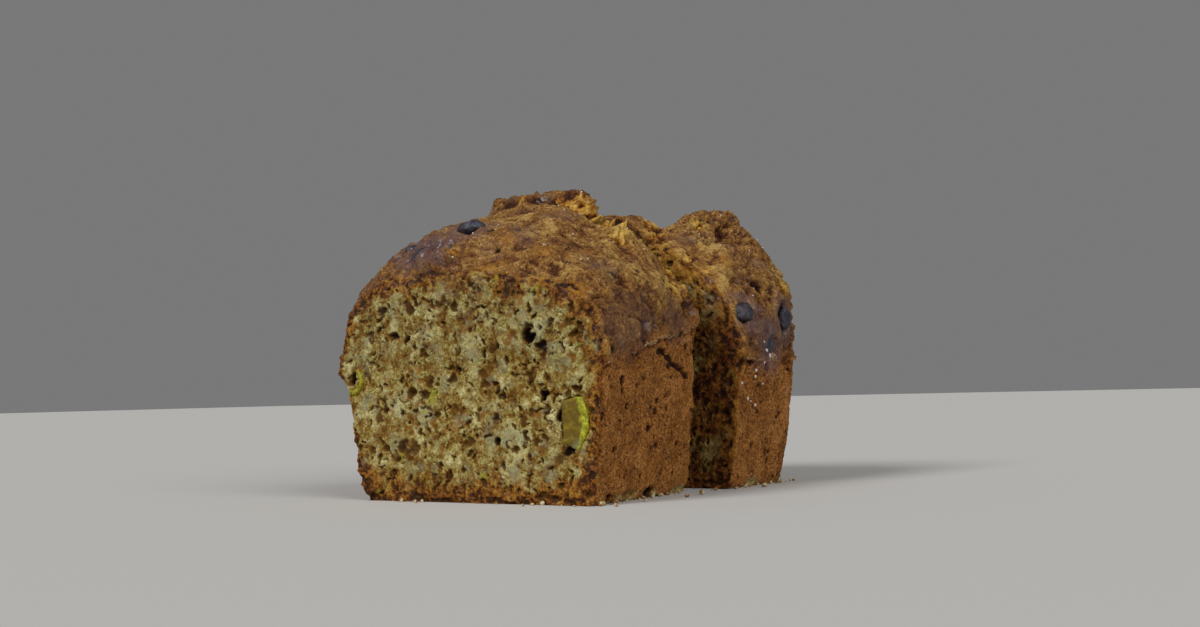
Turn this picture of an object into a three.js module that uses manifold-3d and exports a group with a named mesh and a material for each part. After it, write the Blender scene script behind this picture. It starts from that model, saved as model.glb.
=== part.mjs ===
// A savoury loaf cake cut in two, its pieces standing in line with a gap between them.
// Millimetres, +Z up: x runs across the loaf, y from the front cut towards the baked end.
import * as THREE from "three";
import { mergeVertices } from "three/addons/utils/BufferGeometryUtils.js";
import { ImprovedNoise } from "three/addons/math/ImprovedNoise.js";
import Module from "manifold-3d";

const wasm = await Module();
wasm.setup();

// Driving dimensions of the loaf
const baseHalf = 41; // half the width of the flat underside
const rimHeight = 43; // where the batter rose past the tin's rim
const frontLength = 58.5; // front piece, cut to cut
const rearLength = 45; // rear piece at its base, cut to baked end
const endLean = 6.5; // how far the baked end leans out by the rim
const endCorner = 14; // radius of the tin's upright corners
const cutGap = 12.4; // between the pieces, at the right wall
const rearShift = 8.5; // the rear piece stands this far to the right
const rearTurn = THREE.MathUtils.degToRad(-4); // and is turned a little clockwise
const fitGap = 0.35; // clearance round each piece of fruit
const mergeWithin = 0.05; // faces this close to flat are joined
const tuck = 0.99; // the underside's edges are rounded in by this share
const wallCurve = 0.8; // the walls lean most at the foot

// Depth and grain of the baked relief
const domeCrag = { coarse: 1.8, coarseSize: 15, fine: 1.2, fineSize: 6 };
const wallCrag = 0.45;
const cutCrag = { depth: 0.4, size: 5 };
const ledge = { low: 39.5, rise: 8, soft: 3, fade: 14 }; // crust over the rim's line, along the piece
const lip = { out: 2.4, height: 41, soft: 3.4 }; // where the left wall bulged over the tin's rim

// The dome at stations along a piece. The crown stands at peak; reach and shoulder are where the
// wall ends and the dome starts; full and round are the powers of the curve between them.
const frontPiece = {
  steps: { across: 36, along: 20, up: 16, crowd: 0.85 },
  length: frontLength,
  wallSpread: { left: 12, right: 3.8 },
  ledge: { left: 0, right: 0.9 },
  lip: { left: 1, right: 0 },
  stations: [
    { at: 0, peak: -14, crown: 69.5, left: side(52, 50, 2.6, 2.4), right: side(44.4, 47, 2.1, 2.5) },
    { at: 15, peak: -10, crown: 83.5, left: side(53.5, 53, 3.4, 2.4), right: side(44.6, 50, 2.3, 2) },
    { at: 31, peak: -6, crown: 90.5, left: side(53.5, 56, 2.6, 2.2), right: side(44.6, 54, 1.9, 1.7) },
    { at: 44, peak: -3, crown: 94.5, left: side(53, 58, 2.8, 2.2), right: side(44.6, 57, 1.5, 1.6) },
    { at: frontLength, peak: -2, crown: 94.5, left: side(52, 60, 3, 2.2), right: side(44.4, 58, 1.35, 1.5) },
  ],
  plateaus: [
    { label: "far lip of the burst", x: -18, y: 60, wide: 25, long: 8.5, top: 101 },
    { label: "torn chunk", x: 2.5, y: 54, wide: 9, long: 8, top: 101 },
  ],
  lumps: [
    lump("plate's peak", -3, 43, 12, 6, 1.5),
    lump("right shoulder knob", 33, 46, 7, 7, 2.6),
    lump("left knob", -30, 20, 8, 7, 1),
    lump("dent in the plate", 13, 16, 9, 5, -1.5),
  ],
  crack: {
    path: [[-38, 47], [-20, 49.5], [-4, 48.5], [9, 51], [21, 56], [29, 61]],
    depth: 5.5,
    halfWidth: 3,
  },
};

const rearPiece = {
  steps: { across: 28, along: 13, up: 13, crowd: 1 },
  length: rearLength,
  bakedEnd: true,
  wallSpread: { left: 8, right: 5 },
  ledge: { left: 0.6, right: 0.5 },
  lip: { left: 0.4, right: 0 },
  stations: [
    { at: 0, peak: -2, crown: 92.5, left: side(49, 54, 2.4, 2), right: side(47, 49, 1.25, 1.35) },
    { at: 12, peak: -2, crown: 92.5, left: side(50, 55, 2.6, 2), right: side(47, 53, 1.9, 1.7) },
    { at: 24, peak: -2, crown: 92.5, left: side(50, 55, 2.8, 2), right: side(46.8, 55, 3.4, 2) },
    { at: 36, peak: -2, crown: 90, left: side(49, 53, 2.6, 2.2), right: side(46.2, 54, 3.4, 2.2) },
    { at: rearLength, peak: -2, crown: 70, left: side(48, 50, 2.6, 2.4), right: side(45.6, 51, 2.8, 2.4) },
  ],
  plateaus: [{ label: "right lip of the burst", x: 19, y: 27, wide: 13, long: 15, top: 96 }],
  lumps: [
    lump("ridge beside the cut", -6, 8, 10, 8, 2),
    lump("left knob", -24, 24, 9, 8, 2),
    lump("end knob", 4, 36, 9, 6, 1.6),
  ],
  crack: { path: [[17, -6], [12, 8], [5, 20], [2, 30]], depth: 3.4, halfWidth: 4 },
};

// Large holes of the open crumb: across, height, width and height of the mouth, and depth
const frontHoles = [
  [19.2, 48.8, 3.6, 3.8, 3.4],
  [-48.2, 38, 2.8, 3.6, 3.2],
  [24.8, 31.6, 2.4, 3.4, 2.6],
  [-34.6, 52, 3.3, 2.8, 2.4],
  [-29.6, 48.4, 2.8, 2.4, 2],
  [28.6, 26, 1.8, 4, 2.4],
  [32, 15.2, 3.3, 2.4, 2.6],
  [7.4, 18.7, 2.2, 2.8, 2.4],
  [-6.6, 40.2, 2.3, 3.6, 2],
  [-24.5, 33.9, 4.2, 3.6, 2.2],
  [-35.3, 60.2, 3.4, 2, 2.2],
  [-28.4, 27.7, 1.9, 2.6, 2],
  [-16.9, 44.4, 3.3, 2.2, 1.8],
  [37, 51.3, 2.2, 1.8, 1.8],
];
const hiddenHoles = { count: 7, mouth: [2, 4.2], depth: [1.6, 3] };

// Holes and splits in the crust: place, then size along each axis
const frontCrustHoles = [
  { at: [43.8, 14.6, 35.9], size: [1.6, 1.3, 1.4] },
  { at: [45.8, 16.2, 45], size: [1.6, 2, 1.2] },
  { at: [45.6, 53.5, 41], size: [2, 1.5, 5], tilt: 0.5 },
  { at: [38.5, 52, 75], size: [2.4, 1.2, 3.4] },
];
const rearCrustHoles = [
  { at: [42.2, 25.4, 7.6], size: [2, 1, 2.4] },
  { at: [41.8, 35.4, 8.6], size: [2, 0.9, 2] },
  { at: [42.4, 20, 67.6], size: [3, 2.2, 1.9] },
];

// Fruit in the crust and at the cut: place and radii
const frontFruit = [
  { name: "dark_fruit_1", at: [-25.2, 9, 75.6], radii: [5, 4.4, 4] },
  { name: "dark_fruit_2", at: [-33.4, 14.6, 79.2], radii: [3.6, 3, 2.5] },
  { name: "dark_fruit_3", at: [-13, 17.6, 85.4], radii: [5.4, 3.2, 2.5] },
];
const rearFruit = [
  { name: "dark_fruit_4", at: [43.6, 6.8, 57.3], radii: [3.2, 3.4, 3.4] },
  { name: "dark_fruit_5", at: [46.4, 31, 56.4], radii: [2.3, 4, 4.2] },
  { name: "dark_fruit_6", at: [45.7, 20.5, 46.9], radii: [2.1, 5.2, 4.2] },
];
const greenChunk = { at: [34.4, 0.2, 23.8], flesh: [7.2, 13.6], rind: 3.2, depth: 9, bow: 1.3 };
const greenCurl = { at: [-48.2, 0.2, 37.6], radius: 3.6, thick: 1.1, depth: 6, from: -1.9, to: 1.1 };

const noise = new ImprovedNoise();
const clamp = THREE.MathUtils.clamp;
const mix = THREE.MathUtils.lerp;
const smooth = THREE.MathUtils.smoothstep;

function side(reach, shoulder, full, round) {
  return { reach, shoulder, full, round };
}

function lump(label, x, y, wide, long, lift) {
  return { label, x, y, wide, long, lift };
}

// Same number each time for the same seed
function seeded(seed) {
  let state = seed;
  return () => {
    state = (Math.imul(state, 1664525) + 1013904223) >>> 0;
    return state / 4294967296;
  };
}

function mixSides(a, b, t) {
  return side(
    mix(a.reach, b.reach, t),
    mix(a.shoulder, b.shoulder, t),
    mix(a.full, b.full, t),
    mix(a.round, b.round, t),
  );
}

function stationAt(piece, y) {
  const list = piece.stations;
  const next = clamp(list.findIndex((s) => s.at >= y), 1, list.length - 1);
  const [a, b] = [list[next - 1], list[next]];
  const t = clamp((y - a.at) / (b.at - a.at), 0, 1);
  return {
    peak: mix(a.peak, b.peak, t),
    crown: mix(a.crown, b.crown, t),
    left: mixSides(a.left, b.left, t),
    right: mixSides(a.right, b.right, t),
  };
}

// Half of the dome's curve, from crown to shoulder, as evenly spaced points
function domeHalf({ crown, peak }, flank, sign, count) {
  const points = [];
  const fine = 160;
  for (let i = 0; i <= fine; i++) {
    const turn = ((i / fine) * Math.PI) / 2;
    const x = peak + (sign * flank.reach - peak) * Math.sin(turn) ** (2 / flank.full);
    const z = flank.shoulder + (crown - flank.shoulder) * Math.cos(turn) ** (2 / flank.round);
    points.push(new THREE.Vector2(x, z));
  }
  const lengths = [0];
  for (let i = 1; i <= fine; i++) lengths.push(lengths[i - 1] + points[i].distanceTo(points[i - 1]));
  const even = [];
  for (let n = 0; n <= count; n++) {
    const goal = (n / count) * lengths[fine];
    const next = clamp(lengths.findIndex((d) => d >= goal), 1, fine);
    const t = (goal - lengths[next - 1]) / (lengths[next] - lengths[next - 1]);
    even.push(points[next - 1].clone().lerp(points[next], t));
  }
  return even;
}

// The section's four edges, as x and z, at a place along the piece
function sectionAt(piece, y) {
  const { across, up } = piece.steps;
  const station = stationAt(piece, y);
  const { left, right } = station;
  const half = across / 2;
  const top = [...domeHalf(station, left, -1, half).reverse(), ...domeHalf(station, right, 1, half).slice(1)];
  const wall = (sign, flank, spread) =>
    Array.from({ length: up + 1 }, (_, k) => {
      const z = (k / up) * flank.shoulder;
      const lean = baseHalf + spread * clamp(z / rimHeight, 0, 1) ** wallCurve;
      const reach = mix(lean, flank.reach, smooth(z, rimHeight, flank.shoulder));
      return new THREE.Vector2(sign * reach * (k === 0 ? tuck : 1), z);
    });
  return { top, left: wall(-1, left, piece.wallSpread.left), right: wall(1, right, piece.wallSpread.right) };
}

// Fills a section between its edges
function insideSection(edges, s, t, i, k) {
  const bottom = edges.left[0].clone().lerp(edges.right[0], s);
  const sides = edges.left[k].clone().lerp(edges.right[k], s);
  const ends = bottom.clone().lerp(edges.top[i], t);
  const low = edges.left[0].clone().lerp(edges.right[0], s);
  const high = edges.left.at(-1).clone().lerp(edges.right.at(-1), s);
  return sides.add(ends).sub(low.lerp(high, t));
}

// How far a place in plan is from a crack's path
function crackDistance(crack, x, y) {
  const place = new THREE.Vector2(x, y);
  return Math.min(...crack.points.map((point) => point.distanceTo(place)));
}

// Raises a place to a plateau's top, fully at the middle and not at all past the plateau's edge
function raise(p, { x, y, wide, long, top }, share) {
  const away = Math.hypot((p.x - x) / wide, (p.y - y) / long);
  p.z = mix(p.z, Math.max(p.z, top), share * (1 - smooth(away, 0.55, 1)));
}

// Baked relief: crags on the dome, the bulge over the tin's rim, and the burst
function bake(piece, p, skin) {
  const { x, y, z } = p;
  const onDome = smooth(z, rimHeight - 1, rimHeight + 9);
  const high = smooth(z, rimHeight + 8, 80) * skin;
  const coarse = noise.noise(x / domeCrag.coarseSize, y / domeCrag.coarseSize, z / domeCrag.coarseSize);
  const fine = noise.noise(x / domeCrag.fineSize + 9, y / domeCrag.fineSize, z / domeCrag.fineSize);
  const crag = onDome * (domeCrag.coarse * coarse + domeCrag.fine * fine) + (1 - onDome) * wallCrag * fine;
  const out = new THREE.Vector3(x, 0, z - rimHeight * 0.7).normalize();
  p.addScaledVector(out, crag * skin * smooth(z, 0, 4));
  const flank = x < 0 ? "left" : "right";
  const nearWall = skin * smooth(Math.abs(x), 10, 35);
  const rim = ledge.low + (ledge.rise * y) / piece.length;
  const over = smooth(z, rim, rim + ledge.soft) * (1 - smooth(z, rim + 6, rim + 6 + ledge.fade));
  const bulge = Math.exp(-(((z - lip.height) / lip.soft) ** 2));
  p.x += Math.sign(x) * nearWall * (piece.ledge[flank] * over + piece.lip[flank] * lip.out * bulge);
  for (const plateau of piece.plateaus) raise(p, plateau, high);
  for (const { x: lx, y: ly, wide, long, lift } of piece.lumps) {
    p.z += lift * high * Math.exp(-(((x - lx) / wide) ** 2) - ((y - ly) / long) ** 2);
  }
  p.z -= piece.crack.depth * high * Math.exp(-((crackDistance(piece.crack, x, y) / piece.crack.halfWidth) ** 2));
}

// A cut runs a little uneven; a baked end leans out and has rounded corners
function shapeEnds(piece, p, along) {
  const nearCut = piece.bakedEnd ? 1 - smooth(along, 0, 0.2) : Math.abs(2 * along - 1) ** 4;
  const grain = noise.noise(p.x / cutCrag.size, 3.7 + along * 5, p.z / cutCrag.size);
  p.y += cutCrag.depth * grain * nearCut * smooth(p.z, 0, 2);
  if (!piece.bakedEnd) return;
  p.y += along ** 1.5 * endLean * clamp(p.z / rimHeight, 0, 1);
  const fromEnd = clamp(1 - ((1 - along) * rearLength) / endCorner, 0, 1);
  p.x *= 1 - (endCorner / baseHalf) * (1 - Math.sqrt(1 - fromEnd ** 2)) * 0.8;
  p.y += Math.sin(p.x / 7 + p.z / 11) * 0.5 * along ** 6 * smooth(p.z, 0, 3);
}

// The closed skin of a lattice: six grids of faces that share their edge points
function latticeShell({ across, along, up }, place) {
  const positions = [];
  const indices = [];
  const seen = new Map();
  const vertex = (i, j, k) => {
    const key = `${i},${j},${k}`;
    if (!seen.has(key)) {
      seen.set(key, positions.length / 3);
      positions.push(...place(i, j, k).toArray());
    }
    return seen.get(key);
  };
  const quad = (a, b, c, d, turned) => {
    indices.push(...(turned ? [a, b, c, a, c, d] : [a, b, d, b, c, d]));
  };
  for (let i = 0; i < across; i++) {
    for (let k = 0; k < up; k++) {
      const turned = (i + k) % 2 === 0;
      quad(vertex(i, 0, k), vertex(i + 1, 0, k), vertex(i + 1, 0, k + 1), vertex(i, 0, k + 1), turned);
      const n = along;
      quad(vertex(i + 1, n, k), vertex(i, n, k), vertex(i, n, k + 1), vertex(i + 1, n, k + 1), turned);
    }
  }
  for (let j = 0; j < along; j++) {
    for (let k = 0; k < up; k++) {
      const turned = (j + k) % 2 === 0;
      quad(vertex(0, j + 1, k), vertex(0, j, k), vertex(0, j, k + 1), vertex(0, j + 1, k + 1), turned);
      const n = across;
      quad(vertex(n, j, k), vertex(n, j + 1, k), vertex(n, j + 1, k + 1), vertex(n, j, k + 1), turned);
    }
    for (let i = 0; i < across; i++) {
      const turned = (i + j) % 2 === 0;
      quad(vertex(i, j, up), vertex(i + 1, j, up), vertex(i + 1, j + 1, up), vertex(i, j + 1, up), turned);
      quad(vertex(i, j + 1, 0), vertex(i + 1, j + 1, 0), vertex(i + 1, j, 0), vertex(i, j, 0), turned);
    }
  }
  const geometry = new THREE.BufferGeometry();
  geometry.setAttribute("position", new THREE.Float32BufferAttribute(positions, 3));
  geometry.setIndex(indices);
  return geometry;
}

function loafShell(piece) {
  const { across, along, up, crowd } = piece.steps;
  const route = piece.crack.path.map(([x, y]) => new THREE.Vector2(x, y));
  piece.crack.points = new THREE.SplineCurve(route).getSpacedPoints(60);
  const share = Array.from({ length: along + 1 }, (_, j) => (j / along) ** crowd);
  const sections = share.map((part) => sectionAt(piece, part * piece.length));
  return latticeShell(piece.steps, (i, j, k) => {
    const flat = insideSection(sections[j], i / across, k / up, i, k);
    const p = new THREE.Vector3(flat.x, share[j] * piece.length, flat.y);
    const skin = Math.max(Math.abs((2 * i) / across - 1), k / up) ** 3;
    bake(piece, p, skin);
    shapeEnds(piece, p, share[j]);
    if (k === 0) p.z = 0;
    return p;
  });
}

function toSolid(geometry) {
  const bare = geometry.clone();
  bare.deleteAttribute("normal");
  bare.deleteAttribute("uv");
  const merged = mergeVertices(bare, 1e-4);
  return new wasm.Manifold(
    new wasm.Mesh({
      numProp: 3,
      vertProperties: new Float32Array(merged.attributes.position.array),
      triVerts: new Uint32Array(merged.index.array),
    }),
  );
}

function fromSolid(solid) {
  const { vertProperties, triVerts } = solid.getMesh();
  const geometry = new THREE.BufferGeometry();
  geometry.setAttribute("position", new THREE.BufferAttribute(vertProperties, 3));
  geometry.setIndex(new THREE.BufferAttribute(triVerts, 1));
  return geometry;
}

function ball(at, radii, detail, tilt = 0) {
  const geometry = new THREE.IcosahedronGeometry(1, detail);
  geometry.scale(...radii);
  geometry.rotateX(tilt);
  return geometry.translate(...at);
}

// Dried fruit: an egg shape with shallow wrinkles
function fruitShape({ at, radii }) {
  const geometry = mergeVertices(new THREE.IcosahedronGeometry(1, 2).deleteAttribute("normal").deleteAttribute("uv"));
  const place = geometry.attributes.position;
  for (let n = 0; n < place.count; n++) {
    const p = new THREE.Vector3().fromBufferAttribute(place, n);
    p.multiplyScalar(1 - 0.07 * (1 + Math.sin(p.x * 5 + p.z * 4) * Math.cos(p.y * 6)));
    place.setXYZ(n, p.x, p.y, p.z);
  }
  geometry.scale(...radii);
  return geometry.translate(...at);
}

// A block extruded back into the crumb from the cut
function blockFromCut(outline, depth, at) {
  const geometry = new THREE.ExtrudeGeometry(outline, { depth, bevelEnabled: false, curveSegments: 8 });
  return geometry.rotateX(Math.PI / 2).translate(at[0], at[1] + depth, at[2]);
}

// The chunk's face: straight on the left, its rind bowed out on the right
function chunkOutline(grow) {
  const { flesh, rind, bow } = greenChunk;
  const left = -flesh[0] / 2 - grow;
  const right = flesh[0] / 2 + rind * 0.6 + grow;
  const high = flesh[1] / 2 + grow;
  const outline = new THREE.Shape();
  outline.moveTo(left, -high * 0.86);
  outline.lineTo(right - rind * 1.3, -high * 1.14);
  outline.quadraticCurveTo(right + bow * 1.6, 0, right - rind * 0.9, high * 1.1);
  outline.lineTo(left, high * 0.94);
  outline.closePath();
  return outline;
}

// A curl of rind: part of a ring round one of the holes
function curlOutline(grow) {
  const { radius, thick, from, to } = greenCurl;
  const spare = grow / radius;
  const outline = new THREE.Shape();
  outline.absarc(0, 0, radius + thick / 2 + grow, from - spare, to + spare, false);
  outline.absarc(0, 0, radius - thick / 2 - grow, to + spare, from - spare, true);
  outline.closePath();
  return outline;
}

function hiddenCutHoles(piece, y, seed, dip) {
  const draw = seeded(seed);
  const holes = [];
  for (let n = 0; n < hiddenHoles.count; n++) {
    const x = mix(-33, 33, draw());
    const z = mix(8, 52, draw());
    const mouth = mix(...hiddenHoles.mouth, draw());
    holes.push(ball([x, y, z], [mouth / 2, mix(...hiddenHoles.depth, draw()) * dip, mouth / 2], 1));
  }
  return holes;
}

function crustHoles(list) {
  return list.map(({ at, size, tilt = 0 }) => ball(at, size, 1, tilt));
}

function pocket({ at, radii }) {
  return ball(at, radii.map((r) => r + fitGap), 2);
}

function cutFrom(shell, holes) {
  const cutters = holes.map(toSolid);
  return cutters.reduce((solid, cutter) => solid.subtract(cutter), toSolid(shell));
}

// A cut leaves no loose scraps: the largest body is the piece. Near-flat faces are merged.
function largestBody(solid) {
  const [largest] = solid.decompose().sort((a, b) => b.volume() - a.volume());
  return largest.simplify(mergeWithin);
}

const crustMaterial = new THREE.MeshStandardMaterial({ color: 0x7a5230, roughness: 0.8, metalness: 0 });
const rearMaterial = new THREE.MeshStandardMaterial({ color: 0x70492a, roughness: 0.8, metalness: 0 });
const darkMaterial = new THREE.MeshStandardMaterial({ color: 0x453b3c, roughness: 0.5, metalness: 0 });
const fleshMaterial = new THREE.MeshStandardMaterial({ color: 0x6c5a1c, roughness: 0.4, metalness: 0 });
const rindMaterial = new THREE.MeshStandardMaterial({ color: 0x877d2a, roughness: 0.5, metalness: 0 });

function named(name, geometry, material) {
  const mesh = new THREE.Mesh(geometry, material);
  mesh.name = name;
  return mesh;
}

function makeFront() {
  const front = new THREE.Group();
  const curlSolid = toSolid(blockFromCut(curlOutline(0), greenCurl.depth, greenCurl.at));
  const holes = [
    ...frontHoles.map(([x, z, wide, high, deep]) => ball([x, 0, z], [wide / 2, deep, high / 2], 1)),
    ...hiddenCutHoles(frontPiece, frontLength, 11, 1),
    ...crustHoles(frontCrustHoles),
    ...frontFruit.map(pocket),
    blockFromCut(chunkOutline(fitGap), greenChunk.depth + 2, [greenChunk.at[0], -1, greenChunk.at[2]]),
    blockFromCut(curlOutline(fitGap), greenCurl.depth + 2, [greenCurl.at[0], -1, greenCurl.at[2]]),
  ];
  front.add(named("front_piece", fromSolid(largestBody(cutFrom(loafShell(frontPiece), holes))), crustMaterial));
  for (const fruit of frontFruit) front.add(named(fruit.name, fruitShape(fruit), darkMaterial));
  front.add(named("green_chunk", blockFromCut(chunkOutline(0), greenChunk.depth, greenChunk.at), fleshMaterial));
  front.add(named("green_curl", fromSolid(curlSolid), rindMaterial));
  return front;
}

function makeRear() {
  const rear = new THREE.Group();
  const holes = [
    ...hiddenCutHoles(rearPiece, 0, 29, 1),
    ...crustHoles(rearCrustHoles),
    ...rearFruit.map(pocket),
  ];
  rear.add(named("rear_piece", fromSolid(largestBody(cutFrom(loafShell(rearPiece), holes))), rearMaterial));
  for (const fruit of rearFruit) rear.add(named(fruit.name, fruitShape(fruit), darkMaterial));
  const corner = new THREE.Vector3(baseHalf, 0, 0).applyAxisAngle(new THREE.Vector3(0, 0, 1), rearTurn);
  rear.rotation.z = rearTurn;
  rear.position.set(baseHalf + rearShift - corner.x, frontLength + cutGap - corner.y, 0);
  return rear;
}

// The frame's origin is the middle of the whole loaf's footprint, on the surface that it stands on
const loaf = new THREE.Group();
loaf.add(makeFront(), makeRear());
loaf.updateMatrixWorld(true);
const bounds = new THREE.Box3().setFromObject(loaf, true);
const middle = bounds.getCenter(new THREE.Vector3());
loaf.position.set(-middle.x, -middle.y, 0);

export default loaf;
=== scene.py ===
import math
import random
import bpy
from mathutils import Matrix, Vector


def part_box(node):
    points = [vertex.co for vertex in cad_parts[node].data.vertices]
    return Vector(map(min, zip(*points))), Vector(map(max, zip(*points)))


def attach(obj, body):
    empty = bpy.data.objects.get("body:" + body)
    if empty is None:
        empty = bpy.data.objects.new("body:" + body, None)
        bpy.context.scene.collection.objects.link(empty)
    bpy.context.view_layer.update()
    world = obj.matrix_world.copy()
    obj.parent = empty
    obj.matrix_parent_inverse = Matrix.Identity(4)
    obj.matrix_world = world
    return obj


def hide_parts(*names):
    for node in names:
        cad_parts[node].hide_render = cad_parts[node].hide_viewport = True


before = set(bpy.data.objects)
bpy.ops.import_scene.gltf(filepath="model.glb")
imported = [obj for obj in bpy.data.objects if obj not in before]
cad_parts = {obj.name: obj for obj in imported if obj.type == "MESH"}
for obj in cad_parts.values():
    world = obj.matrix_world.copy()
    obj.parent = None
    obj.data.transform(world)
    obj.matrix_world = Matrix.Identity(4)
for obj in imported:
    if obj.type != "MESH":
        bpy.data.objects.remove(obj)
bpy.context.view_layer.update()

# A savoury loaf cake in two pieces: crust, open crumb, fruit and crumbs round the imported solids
from types import SimpleNamespace

import bpy
import numpy as np
from mathutils import Matrix, Vector, noise
from mathutils.kdtree import KDTree

mm = 0.001
scene = bpy.context.scene


def deselect():
    bpy.ops.object.select_all(action="DESELECT")


def activate(thing):
    deselect()
    thing.select_set(True)
    bpy.context.view_layer.objects.active = thing


def applyModifier(thing, kind, **settings):
    activate(thing)
    bpy.ops.object.modifier_add(type=kind)
    modifier = thing.modifiers[-1]
    for key, value in settings.items():
        setattr(modifier, key, value)
    bpy.ops.object.modifier_apply(modifier=modifier.name)


def copyOfNode(node, name):
    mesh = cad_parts[node].data.copy()
    mesh.materials.clear()
    thing = bpy.data.objects.new(name, mesh)
    scene.collection.objects.link(thing)
    activate(thing)
    bpy.ops.object.mode_set(mode="EDIT")
    bpy.ops.mesh.select_all(action="SELECT")
    bpy.ops.mesh.remove_doubles(threshold=0.01 * mm)
    bpy.ops.object.mode_set(mode="OBJECT")
    return thing


def coordinates(mesh):
    flat = np.empty(len(mesh.vertices) * 3, np.float32)
    mesh.vertices.foreach_get("co", flat)
    return flat.reshape(-1, 3).astype(float)


def normals(mesh):
    flat = np.empty(len(mesh.vertices) * 3, np.float32)
    mesh.vertex_normals.foreach_get("vector", flat)
    return flat.reshape(-1, 3).astype(float)


def setCoordinates(mesh, points):
    mesh.vertices.foreach_set("co", points.astype(np.float32).ravel())
    mesh.update()


def keepAttribute(mesh, name, values):
    attribute = mesh.attributes.new(name, "FLOAT", "POINT")
    attribute.data.foreach_set("value", np.clip(values, 0, 1).astype(np.float32))


# How far each point lies below its smoothed surroundings, in millimetres
def sunkBelow(mesh, facing, rounds):
    points = coordinates(mesh)
    ends = np.empty(len(mesh.edges) * 2, np.int32)
    mesh.edges.foreach_get("vertices", ends)
    first, last = ends.reshape(-1, 2).T
    total = len(points)
    shared = np.bincount(first, minlength=total) + np.bincount(last, minlength=total)
    smooth = points.copy()
    for _ in range(rounds):
        for axis in range(3):
            values = smooth[:, axis]
            around = np.bincount(first, values[last], total) + np.bincount(last, values[first], total)
            smooth[:, axis] = 0.5 * values + 0.5 * around / shared
    return ((smooth - points) * facing).sum(1) / mm


def triangleCount(mesh):
    return sum(len(face.vertices) - 2 for face in mesh.polygons)


def subdivideFaces(thing, chosen, cuts):
    activate(thing)
    bpy.ops.object.mode_set(mode="EDIT")
    bpy.ops.mesh.select_mode(type="FACE")
    bpy.ops.mesh.select_all(action="DESELECT")
    bpy.ops.object.mode_set(mode="OBJECT")
    thing.data.polygons.foreach_set("select", chosen)
    bpy.ops.object.mode_set(mode="EDIT")
    bpy.ops.mesh.subdivide(number_cuts=cuts)
    bpy.ops.object.mode_set(mode="OBJECT")


def finishPiece(piece, material, slot, *nodes):
    piece.data.materials.clear()
    piece.data.materials.append(material)
    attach(piece, "root")
    if nodes:
        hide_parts(*nodes)
    return piece


def rise(low, high, values):
    t = np.clip((values - low) / (high - low), 0, 1)
    return t * t * (3 - 2 * t)


# Noise at many points: size is the grain in millimetres, one number or one for each axis
def grain(points, size, seed=0.0, octaves=1):
    scaled = points / (np.array(size) * mm) + seed
    if octaves == 1:
        return np.array([noise.noise(Vector(p)) for p in scaled])
    return np.array([noise.fractal(Vector(p), 0.9, 2.1, octaves) for p in scaled])


def ridges(points, size, seed):
    return 1 - 2 * np.abs(grain(points, size, seed))


# Distance to the nearest of many scattered seeds, 0 at a seed and about 1 between them
def clods(points, size, seed=0.0):
    scaled = points / (size * mm) + seed
    return np.array([noise.voronoi(Vector(p))[0][0] for p in scaled])


def warp(points, size, reach, seed):
    pushed = [grain(points, size, seed + 17.0 * axis) for axis in range(3)]
    return points + np.stack(pushed, 1) * reach * mm


def tone(red, green, blue):
    def linear(value):
        value /= 255
        return value / 12.92 if value <= 0.04045 else ((value + 0.055) / 1.055) ** 2.4

    return (linear(red), linear(green), linear(blue), 1)


class Wire:
    def __init__(self, paint, socket):
        self.paint = paint
        self.socket = socket

    def maths(self, operation, first, second):
        return self.paint.node("ShaderNodeMath", {"operation": operation}, {0: first, 1: second})

    def __add__(self, other):
        return self.maths("ADD", self, other)

    def __radd__(self, other):
        return self.maths("ADD", other, self)

    def __sub__(self, other):
        return self.maths("SUBTRACT", self, other)

    def __rsub__(self, other):
        return self.maths("SUBTRACT", other, self)

    def __mul__(self, other):
        return self.maths("MULTIPLY", self, other)

    def __rmul__(self, other):
        return self.maths("MULTIPLY", other, self)

    def above(self, low, high):
        ends = {"Value": self, "From Min": low, "From Max": high}
        return self.paint.node("ShaderNodeMapRange", {"interpolation_type": "SMOOTHSTEP"}, ends)


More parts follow.
